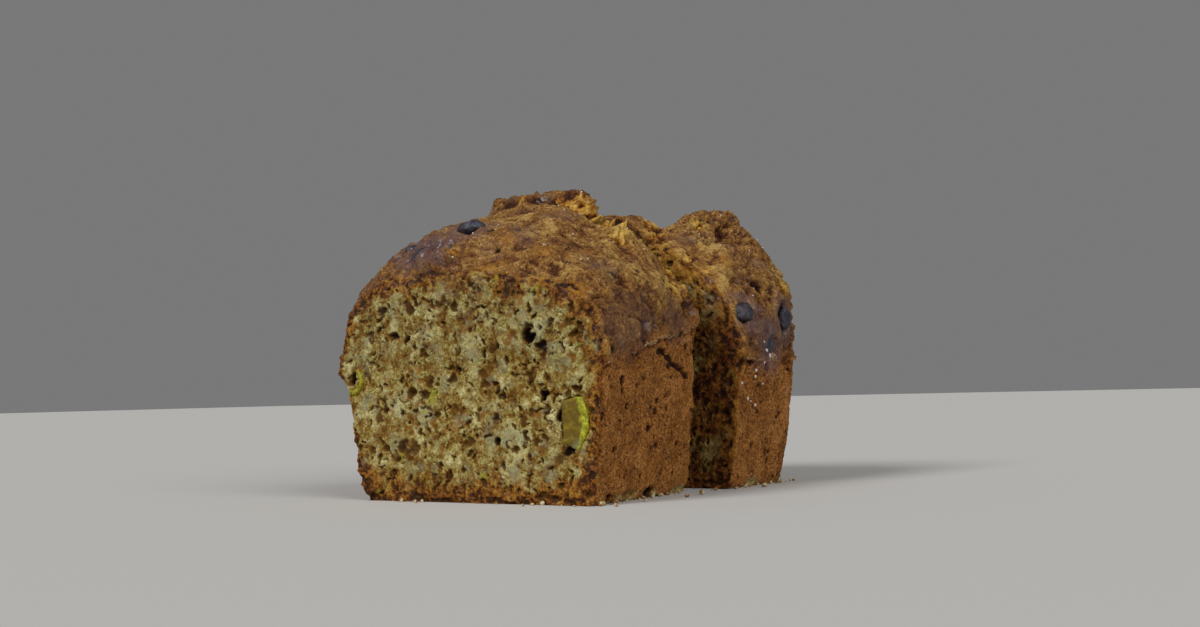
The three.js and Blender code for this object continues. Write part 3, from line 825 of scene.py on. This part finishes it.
# Depth of the holes, gashes and cracks in the crust, in millimetres
def openCrust(loaf, spec):
    draw = random.Random(spec["seed"])
    tree = KDTree(len(loaf.local))
    for index, place in enumerate(loaf.local):
        tree.insert(place, index)
    tree.balance()
    depth = np.zeros(len(loaf.local))
    for centre, radius in crustHoles(loaf, spec, tree, draw):
        lean = Vector([draw.gauss(0, 1) for _ in range(3)]).normalized()
        long = draw.uniform(1, 1.5)
        for place, index, _ in tree.find_range(centre, radius * long * 1.3):
            away = place - centre
            along = away.dot(lean)
            part = (away.length_squared - along * along + (along / long) ** 2) / radius**2
            part *= loaf.ragged[index]
            if part < 1:
                depth[index] = max(depth[index], 1.5 * radius * math.sqrt(1 - part))
    wavy = (warp(loaf.points, 4, 1.0, spec["seed"] + 50) - loafOrigin) / mm
    for wide, deep, path in spec["gashes"]:
        away = fromPath(wavy, path) * loaf.ragged / wide
        depth = np.maximum(depth, deep * np.sqrt(np.clip(1 - away**2, 0, 1)))
    return depth


# Juice from the dark fruit stains the crust round it
def fruitStain(points):
    stain = np.zeros(len(points))
    for number in darkFruit["pieces"]:
        middle, span = middleAndSpan(f"dark_fruit_{number}")
        away = np.linalg.norm(warp(points, 5, 3.0, number) - np.array(middle), axis=1) / (span.length / 2)
        stain = np.maximum(stain, 1 - rise(0.8, 2.0, away))
    return stain


# The node's solid as one even mesh, with flat cuts
def meshLoafPiece(spec):
    piece = copyOfNode(spec["node"], spec["name"])
    applyModifier(piece, "REMESH", mode="VOXEL", voxel_size=relief["voxel"] * mm)
    applyModifier(piece, "SMOOTH", factor=0.5, iterations=3)
    points = coordinates(piece.data)
    end = relief["bakedEnd"]
    far = (points[:, 1] - loafOrigin[1] > end["from"] * mm) & (points[:, 2] > end["above"] * mm)
    if far.any():
        piece.vertex_groups.new(name="bakedEnd").add(np.flatnonzero(far).tolist(), 1, "REPLACE")
        applyModifier(piece, "SMOOTH", factor=0.5, iterations=16, vertex_group="bakedEnd")
    # The cut faces come back to their planes after the smoothing
    points = coordinates(piece.data)
    for cut in spec["cuts"]:
        deep = inCut(points, cut)[2]
        share = 1 - rise(0.5, 1.1, deep)
        points -= (share * deep * mm)[:, None] * np.array(cut["inward"])
    points[:, 2] = np.maximum(points[:, 2], 0)
    # The left wall of the front piece spreads a little at its foot
    left, up = (points[:, 0] - loafOrigin[0]) / mm, points[:, 2] / mm
    points[:, 0] -= spec["spread"] * mm * rise(18, 41, -left) * (1 - rise(6, 34, up))
    setCoordinates(piece.data, points)
    return piece


# The cuts get the finest mesh, the crust a coarser one, and the underside stays as it is
def refineLoafPiece(piece, spec):
    for cut in spec["cuts"]:
        centres = np.array([face.center for face in piece.data.polygons])
        crumb = crumbShare(*inCut(centres, cut), cut)[0]
        subdivideFaces(piece, crumb > 0.5, cut["fineness"])
    centres = np.array([face.center for face in piece.data.polygons])
    areas = np.array([face.area for face in piece.data.polygons])
    subdivideFaces(piece, (areas > 0.9 * mm * mm) & (centres[:, 2] > 0.6 * mm), 1)


# What the shaping of a piece shares: its points, their marks, and how far each of them moves
def startLoaf(mesh, spec):
    points = coordinates(mesh)
    total = len(points)
    bent = warp(points, 2.6, 0.9, spec["seed"])
    return SimpleNamespace(
        points=points,
        local=(points - loafOrigin) / mm,
        facing=normals(mesh),
        moved=np.zeros((total, 3)),
        ragged=1 + 0.55 * grain(points, 2.4, 4.0) + 0.3 * grain(points, 0.9, 5.0),
        clod=1 - (0.52 * clods(bent, 3.2) + 0.32 * clods(bent, 1.7, 7.0) + 0.16 * clods(bent, 0.9, 3.0)),
        marks={kind: np.zeros(total) for kind in ("crumb", "band", "pore", "pale", "tint", "dusk")},
    )


# Pores and clods of a cut, its browned band, and its crumbling corners
def shapeCut(loaf, cut):
    marks = loaf.marks
    x, z, deep = inCut(loaf.points, cut)
    crumb, edge = crumbShare(x, z, deep, cut)
    near = np.flatnonzero(deep < 5)
    turned = 1 - rise(0.5, 3.5, deep[near] * (1 + 0.6 * grain(loaf.points[near], 2.5, 3.0)))
    marks["band"][near] = np.maximum(marks["band"][near], 0.8 * turned * (edge[near] < relief["rind"]))
    crumbleCorner(loaf, deep, edge)
    mine = np.flatnonzero(crumb > 0.02)
    points, x, z, deep, crumb, edge = (values[mine] for values in (loaf.points, x, z, deep, crumb, edge))
    pores = openPores(x, z, edge, cut) * crumb
    rough = relief["crumbClods"] * (1.3 - 1.6 * loaf.clod[mine]) + 0.25 * grain(points, 3.4, 9.0)
    loaf.moved[mine] += ((pores + rough * crumb) * mm)[:, None] * np.array(cut["inward"])
    # Hollows and pores of the cut are marked so that the colours paint shade in them
    hollow = rise(0.6, 2.6, deep) * (edge > relief["rind"])
    marks["crumb"][mine] = np.maximum(marks["crumb"][mine], crumb)
    marks["pore"][mine] = np.maximum(marks["pore"][mine], np.maximum(pores / 1.7, hollow))
    for kind in ("pale", "tint"):
        marks[kind][mine] = spotsOn(points, x, z, cut.get(kind, []))
    bare = 1 - 0.5 * np.maximum(marks["pale"][mine], marks["tint"][mine])
    # In the gap between the pieces the rear cut is browned and darkened, less near its top: painted shade
    toast = cut.get("toast", 0)
    marks["dusk"][mine] = toast * crumb * (1 - 0.75 * rise(54, 70, z))
    browned = np.maximum(brownBand(points, x, z, edge), toast * (0.66 + 1.7 * grain(points, 9, 31.0)))
    marks["band"][mine] = browned * bare * rise(0.0, 0.5, crumb)


def crumbleCorner(loaf, deep, edge):
    corner = np.flatnonzero((edge < relief["rind"]) & (deep < 2.6))
    points = loaf.points[corner]
    near = (1 - rise(1.0, relief["rind"], edge[corner])) * (1 - rise(1.0, 2.6, deep[corner]))
    rough = 0.7 * grain(points, 1.1, 12.0) + 0.8 * grain(points, 3.5, 13.0)
    rough += 0.7 * grain(points, 9, 14.0)
    crumble = relief["cornerCrumble"] * (rough + 0.5 * loaf.clod[corner] - 0.35)
    loaf.moved[corner] += (crumble * near * mm)[:, None] * loaf.facing[corner]


# Where the dome starts over the rim, and where the crust is torn
def placeCrust(loaf, spec):
    points, height = loaf.points, loaf.local[:, 2]
    along = np.clip(loaf.local[:, 1] / frontLength, 0, 1)
    rimLine = spec["rim"]["low"] + spec["rim"]["rise"] * along + 1.6 * grain(points, 9, 1.0)
    rimLine += 0.8 * grain(points, 2.5, 2.0)
    loaf.over = height - rimLine
    loaf.dome = rise(0, 4, loaf.over)
    burst = fromPath(loaf.local[:, :2], spec["burst"]) / spec["tearWidth"]
    tear = (1 - rise(0.35, 1, burst)) * rise(70, 80, height)
    tear = np.clip(tear * (1.1 + 1.2 * grain(points, 5, spec["seed"])), 0, 1)
    loaf.tear = np.maximum(tear, patches(loaf, spec["rags"]))
    loaf.crust = 1 - loaf.marks["crumb"]
    loaf.sound = loaf.crust * (1 - loaf.tear)


# Swells, folds, pimples and cracks of the dome. Some of its skin is drawn smooth, and some is wrinkled.
def domeSkin(loaf, spec):
    points, seed, fine = loaf.points, spec["seed"], spec["fine"]
    folded = warp(points, 8, 4.0, seed)
    loaf.folds = ridges(folded, (10, 4, 6), seed + 5)
    fineFolds = ridges(folded, (4, 1.6, 2.4), seed + 8)
    loaf.cracks = rise(0.80, 0.97, ridges(folded, (9, 3.5, 5), seed + 20))
    loaf.cracks *= rise(0.05, 0.3, grain(points, 7, seed + 21))
    drawn = 0.35 + 0.85 * rise(-0.35, 0.35, grain(points, (17, 14, 14), seed + 24))
    swells = relief["swells"] * grain(points, (13, 13, 11), seed + 1)
    lumps = relief["lumps"] * (0.4 + 0.6 * fine) * grain(folded, (6, 4.5, 5), seed)
    pimples = relief["pimples"] * fine * grain(points, 1.4, seed + 3)
    wrinkles = relief["wrinkles"] * (loaf.folds - 0.35) + relief["fineWrinkles"] * (fineFolds - 0.2)
    skin = swells + lumps * (0.5 + 0.5 * drawn) + wrinkles * drawn * fine + pimples
    return skin - relief["cracks"] * loaf.cracks * fine - 0.1


def wallSkin(loaf, spec):
    fine, coarse = grain(loaf.points, 1.1, spec["seed"] + 2), grain(loaf.points, 6, spec["seed"] + 14)
    return relief["wallGrain"] * (fine + 0.8 * coarse) - 0.3 * (1 - loaf.clod)


# Crags of batter where the crust burst
def tornSkin(loaf, spec):
    seed = spec["seed"]
    twisted = warp(warp(loaf.points, 5, 3.2, seed + 40), 1.8, 1.2, seed + 44)
    loaf.crags = 1 - 0.6 * clods(twisted, 5.0, seed + 2) - 0.4 * clods(twisted, 2.2, seed + 5)
    torn = relief["crags"] * (loaf.crags - 0.62)
    torn += relief["tearRough"] * grain(twisted, 2.6, seed + 6, 3)
    torn += 0.7 * ridges(twisted, (5, 3, 2), seed + 9) - 0.8
    return torn


# Batter rises at the bumps, and round each dark fruit
def swellCrust(loaf, spec):
    bumps = [((x, y, z, size), up) for x, y, z, size, up in spec["bumps"]]
    for number, fruit in darkFruit["pieces"].items():
        middle, span = middleAndSpan(f"dark_fruit_{number}")
        place = (np.array(middle) - loafOrigin) / mm
        bumps.append(((*place, span.length / mm * 1.15), fruit["swell"]))
    for spot, up in bumps:
        loaf.skin += up * patches(loaf, [spot])


# The crust over the rim overhangs the wall, with a pale ragged edge
def overhangRim(loaf, spec):
    over = loaf.over
    here = rise(-0.35, 0.25, grain(loaf.points, 6, spec["seed"] + 4)) * (loaf.facing[:, 0] > 0.4)
    under = 0.6 * np.exp(-((over + 1.1) / 0.6) ** 2)
    loaf.skin += here * (1.1 * rise(-0.5, 0.3, over) * (1 - rise(1.5, 6, over)) - under)
    loaf.rim = np.exp(-((over - 0.1) / 0.75) ** 2) * here


def shapeCrust(loaf, spec):
    placeCrust(loaf, spec)
    dome, tear, height = loaf.dome, loaf.tear, loaf.local[:, 2]
    loaf.skin = (dome * domeSkin(loaf, spec) + (1 - dome) * wallSkin(loaf, spec)) * (1 - tear)
    loaf.skin += tornSkin(loaf, spec) * tear
    swellCrust(loaf, spec)
    overhangRim(loaf, spec)
    foot = rise(0.0, 1.5, height)
    loaf.holes = openCrust(loaf, spec)
    loaf.moved += ((loaf.skin * foot - loaf.holes) * loaf.crust * mm)[:, None] * loaf.facing
    loaf.moved[:, 2] *= foot
    # The foot of the walls is crumbly and undercut here and there
    loaf.undercut = rise(-0.1, 0.4, grain(loaf.points, (6, 6, 3), spec["seed"] + 30))
    loaf.undercut *= (1 - rise(1.2, 3.4, height)) * (height < 3.4)
    loaf.moved -= (1.3 * loaf.undercut * mm)[:, None] * loaf.facing * (1, 1, 0)


def markPiece(mesh, loaf, spec):
    marks, crust, tear = loaf.marks, loaf.crust, loaf.tear
    sunk = sunkBelow(mesh, loaf.facing, relief["sunkRounds"])
    # Holes and cracks are marked like pores, for painted shade in them
    openings = np.maximum(loaf.holes / 0.8, 0.4 * loaf.cracks * loaf.dome * crust)
    # On the crust the clod mark mixes clods with fold crests and crags, so the valleys between folds and
    # crags are painted darker: painted shade
    creased = 0.5 * loaf.clod + 0.5 * rise(-0.6, 0.8, loaf.folds) * (1 - tear) + tear * loaf.crags
    marks["clod"] = marks["crumb"] * loaf.clod + crust * creased
    marks["crumb"] = np.maximum(marks["crumb"], 0.8 * loaf.undercut)
    marks["pore"] = np.maximum(marks["pore"], openings)
    marks["sunk"] = 0.5 + 0.8 * np.maximum(sunk, -0.12)
    marks["high"] = rise(0, 50, loaf.over)
    marks["stain"] = fruitStain(loaf.points) * crust
    marks.update(tear=tear, dome=loaf.dome, rim=loaf.rim)
    for kind in ("violet", "gilded", "ember"):
        marks[kind] = patches(loaf, spec[kind])
    for kind in bakedMarks:
        keepAttribute(mesh, kind, marks[kind])
    print(spec["name"], "shaped and marked")


def makeLoafPiece(spec):
    piece = meshLoafPiece(spec)
    refineLoafPiece(piece, spec)
    loaf = startLoaf(piece.data, spec)
    print(spec["name"], "meshed with", len(loaf.points), "points")
    for cut in spec["cuts"]:
        shapeCut(loaf, cut)
    shapeCrust(loaf, spec)
    setCoordinates(piece.data, loaf.points + loaf.moved)
    markPiece(piece.data, loaf, spec)
    triangles = triangleCount(piece.data)
    if triangles > relief["mostTriangles"]:
        applyModifier(piece, "DECIMATE", ratio=relief["mostTriangles"] / triangles)
    activate(piece)
    bpy.ops.object.shade_smooth()
    print(spec["name"], "has", triangleCount(piece.data), "triangles")
    return finishPiece(piece, baked, "baked_batter", spec["node"])


frontPiece = makeLoafPiece(frontLoaf)
rearPiece = makeLoafPiece(rearLoaf)


def makeFruitSkin():
    paint = Paint("driedFruit")
    cloud = paint.noise(2.6, 3, 0.6, 0.5)
    colour = paint.blend(cloud.above(0.48, 0.66), darkFruit["skin"], darkFruit["bloom"])
    colour = paint.blend(paint.noise(3.5, 2, 0.5, 1.2).above(0.56, 0.68) * 0.45, colour, darkFruit["warm"])
    fold = paint.noise(0.9, 3, 0.6, 1.2)
    paint.set(Base_Color=colour, Roughness=0.62 - cloud * 0.3, Normal=paint.bump(fold, 0.25, 0.7))
    return paint.material


def makeFruit(number, fruit, skin):
    node = f"dark_fruit_{number}"
    middle, span = middleAndSpan(node)
    deselect()
    bpy.ops.mesh.primitive_ico_sphere_add(subdivisions=5, radius=1, location=middle)
    thing = bpy.context.object
    thing.name = f"driedFruit{number}"
    thing.scale = span / 2 + Vector((1, 1, 1)) * fruit["grow"] * mm
    bpy.ops.object.transform_apply(location=True, rotation=False, scale=True)
    points = coordinates(thing.data)
    folds = ridges(points, (1.6, 2.8, 2.2), number * 3.1)
    small = grain(points, 0.9, number * 1.3)
    uneven = grain(points, 3.6, number * 5.7)
    puff = 0.24 * folds + 0.1 * small + 1.1 * uneven - 0.1
    setCoordinates(thing.data, points + (puff * mm)[:, None] * normals(thing.data))
    bpy.ops.object.shade_smooth()
    finishPiece(thing, skin, "dark_fruit", node)


fruitSkin = makeFruitSkin()
for number, fruit in darkFruit["pieces"].items():
    makeFruit(number, fruit, fruitSkin)
print("fruit made")


# The green chunk and the curl at the front cut: how far each swells and comes forward, and their tones
greens = {
    "pieces": [
        {"node": "green_chunk", "name": "greenChunk", "slot": "green_flesh", "grow": 0.35, "forward": -0.4},
        {"node": "green_curl", "name": "greenCurl", "slot": "green_rind", "grow": 0.25, "forward": 0.45},
    ],
    "flesh": tone(110, 88, 2),
    "fleshPale": tone(138, 118, 12),
    "fleshGrey": tone(138, 134, 96),
    "rind": tone(200, 196, 40),
    "rindDark": tone(124, 122, 14),
}


def makeGreenSkin():
    paint = Paint("greenFlesh")
    rind = paint.attribute("rind")
    cloud = paint.noise(3.0, 3, 0.55, 0.4, (0.5, 1, 1))
    strand = paint.noise(0.8, 4, 0.7, 0.8, (1, 1, 0.5))
    flesh = paint.blend(cloud.above(0.45, 0.68), greens["flesh"], greens["fleshPale"])
    flesh = paint.blend(paint.attribute("grey") * 0.8, flesh, greens["fleshGrey"])
    outer = paint.blend(strand.above(0.40, 0.62), greens["rindDark"], greens["rind"])
    colour = paint.blend(rind, flesh, outer)
    paint.set(Base_Color=colour, Roughness=0.42, Specular_IOR_Level=0.35, Normal=paint.bump(strand, 0.5, 0.8))
    paint.set(Subsurface_Weight=0.12, Subsurface_Scale=0.003)
    return paint.material


# The chunk's rind runs down its right side and over its top, and its foot is greyish on the right
def chunkMarks(points, low, high):
    height = (points[:, 2] - (low.z + high.z) / 2) / (high.z - low.z) * 2
    outer = high.x - (0.9 + 1.6 * height**2) * mm - 1.3 * mm
    fromOuter = (points[:, 0] - outer) / mm + 0.8 * grain(points, (1.2, 1.2, 1.6), 9.0)
    rind = np.maximum(rise(-0.5, 0.6, fromOuter), rise(0.90, 0.99, height + 0.04 * fromOuter))
    return rind, (1 - rise(-0.85, -0.45, height)) * rise(-2.6, -1, fromOuter)


def makeGreen(spec, skin):
    piece = copyOfNode(spec["node"], spec["name"])
    applyModifier(piece, "REMESH", mode="VOXEL", voxel_size=0.3 * mm)
    applyModifier(piece, "SMOOTH", factor=0.5, iterations=4)
    points = coordinates(piece.data)
    bumps = 0.35 * grain(points, (1.6, 1.8, 2.4), 3.0) + 0.15 * grain(points, (0.6, 0.7, 0.8), 6.0)
    points = points + ((bumps + spec["grow"]) * mm)[:, None] * normals(piece.data)
    points[:, 1] -= spec["forward"] * mm
    rind, grey = np.full(len(points), 0.6), np.zeros(len(points))
    if spec["node"] == "green_chunk":
        rind, grey = chunkMarks(points, *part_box(spec["node"]))
    keepAttribute(piece.data, "rind", rind)
    keepAttribute(piece.data, "grey", grey)
    setCoordinates(piece.data, points)
    bpy.ops.object.shade_smooth()
    finishPiece(piece, skin, spec["slot"], spec["node"])


greenSkin = makeGreenSkin()
for spec in greens["pieces"]:
    makeGreen(spec, greenSkin)
print("green pieces made")


def joinAs(name, things, material, slot):
    deselect()
    for thing in things:
        thing.select_set(True)
    bpy.context.view_layer.objects.active = things[0]
    bpy.ops.object.join()
    things[0].name = name
    bpy.ops.object.shade_smooth()
    finishPiece(things[0], material, slot)


# Crumbs that fell off: round the foot of the walls, and a few further out
crumbs = {
    "lines": [
        {"from": (-41, -0.8), "to": (41, -0.8), "count": 14, "stray": 0.9},
        {"from": (41.6, 0), "to": (41.6, 58), "count": 34, "stray": 0.8},
        {"from": (50.4, 71), "to": (53.4, 118), "count": 24, "stray": 0.8},
        {"from": (38, 59.5), "to": (48, 69), "count": 10, "stray": 1.8},
        {"from": (-41.8, 0), "to": (-41.8, 56), "count": 12, "stray": 0.8},
    ],
    "strays": [
        (50.5, 49, 0.9), (51, 38, 0.7), (56, 84, 0.8), (47, 2, 0.6), (46.5, 20, 0.5), (20, -5, 0.5),
        (-20, -4, 0.6),
    ],
    "size": (0.2, 0.8),
    "pale": tone(206, 192, 150),
    "brown": tone(140, 92, 42),
}


def makeCrumbs():
    paint = Paint("crumbs")
    cloud = paint.noise(1.8, 2, 0.6)
    colour = paint.blend(cloud.above(0.40, 0.60), crumbs["brown"], crumbs["pale"])
    paint.set(Base_Color=colour, Roughness=0.8)
    draw = random.Random(21)
    places = list(crumbs["strays"])
    low, high = crumbs["size"]
    for line in crumbs["lines"]:
        for _ in range(line["count"]):
            share = draw.random()
            ends = zip(line["from"], line["to"])
            x, y = (a + (b - a) * share + draw.gauss(0, line["stray"] / 2) for a, b in ends)
            places.append((x, y, low + (high - low) * draw.random() ** 2))
    things = []
    for x, y, size in places:
        deselect()
        centre = Vector(loafOrigin) + Vector((x, y, size * 0.75)) * mm
        bpy.ops.mesh.primitive_ico_sphere_add(subdivisions=2, radius=size * mm, location=centre)
        crumb = bpy.context.object
        crumb.scale = [draw.uniform(0.7, 1.2) for _ in range(3)]
        bpy.ops.object.transform_apply(location=True, rotation=False, scale=True)
        points = coordinates(crumb.data)
        bumps = 0.35 * size * grain(points, 0.8, x)
        points += (bumps * mm)[:, None] * normals(crumb.data)
        points[:, 2] = np.maximum(points[:, 2], 0.02 * mm)
        setCoordinates(crumb.data, points)
        things.append(crumb)
    joinAs("looseCrumbs", things, paint.material, "baked_batter")


makeCrumbs()
print("crumbs made")


# Drops on the rear piece's wall and bright grains on the crust: pale glossy beads, painted glints
glazeAndGlints = {
    "drops": [
        (57.1, 88, 46.3, 0.8), (57.0, 88.4, 43.4, 0.6), (56.0, 80.8, 38.8, 0.7), (56.0, 81.6, 36.8, 0.5),
        (54.9, 72.8, 34.6, 0.55), (55.8, 85.6, 33.9, 0.45), (54.5, 77.4, 29.4, 0.5),
        (54.6, 83, 27.1, 0.6), (56.6, 85, 41.1, 0.4), (54.7, 80, 28.2, 0.35), (56.4, 84, 48.5, 0.45),
    ],
    "grains": 90,
    "grainSize": (0.14, 0.3),
    # The pale colour that makes the beads show as painted glints
    "tone": tone(226, 218, 214),
}


def makeGlazeAndGlints(front, rear):
    paint = Paint("glazeAndGlints")
    # Pale and glossy beads: painted glints
    paint.set(Base_Color=glazeAndGlints["tone"], Roughness=0.12, Specular_IOR_Level=0.8)
    draw = random.Random(8)
    beads = [(rear, drop[:3], drop[3] * 0.75, draw.uniform(1.0, 1.7)) for drop in glazeAndGlints["drops"]]
    for _ in range(glazeAndGlints["grains"]):
        if draw.random() < 0.6:
            piece, place = front, (draw.uniform(-44, 46), draw.uniform(0, 57), draw.uniform(60, 100))
        else:
            piece, place = rear, (draw.uniform(10, 58), draw.uniform(72, 118), draw.uniform(45, 96))
        beads.append((piece, place, draw.uniform(*glazeAndGlints["grainSize"]), 1.0))
    things = []
    for piece, place, size, long in beads:
        near = Vector(loafOrigin) + Vector(place) * mm
        centre = piece.closest_point_on_mesh(near)[1]
        deselect()
        bpy.ops.mesh.primitive_uv_sphere_add(segments=10, ring_count=7, radius=size * mm, location=centre)
        bead = bpy.context.object
        bead.scale = (1, 1, long)
        bpy.ops.object.transform_apply(location=True, rotation=False, scale=True)
        things.append(bead)
    joinAs("glazeAndGlintDrops", things, paint.material, "baked_batter")


makeGlazeAndGlints(frontPiece, rearPiece)
print("glaze made")


# A plain floor, soft light and a pale surround
studio = {
    "floor": tone(205, 203, 199),
    "world": 0.19,
    "suns": [
        {"from": (-0.3, -0.9, 0.74), "spread": 22, "strength": 1.74},
        {"from": (0.9, -0.34, 0.7), "spread": 40, "strength": 1.1},
    ],
}


def makeStudio():
    deselect()
    bpy.ops.mesh.primitive_plane_add(size=12, location=(0, 0, 0))
    floor = bpy.context.object
    floor.name = "studioFloor"
    paint = Paint("studioFloor")
    paint.set(Base_Color=studio["floor"], Roughness=0.9)
    floor.data.materials.append(paint.material)
    for number, light in enumerate(studio["suns"]):
        data = bpy.data.lights.new(f"softSun{number}", "SUN")
        data.angle = math.radians(light["spread"])
        data.energy = light["strength"]
        thing = bpy.data.objects.new(data.name, data)
        thing.rotation_euler = Vector(light["from"]).to_track_quat("Z", "Y").to_euler()
        scene.collection.objects.link(thing)
    world = bpy.data.worlds.new("studio")
    scene.world = world
    world.use_nodes = True
    world.node_tree.nodes["Background"].inputs["Color"].default_value = (1, 1, 1, 1)
    world.node_tree.nodes["Background"].inputs["Strength"].default_value = studio["world"]
    scene.view_settings.view_transform = "Standard"


makeStudio()
print("studio made")
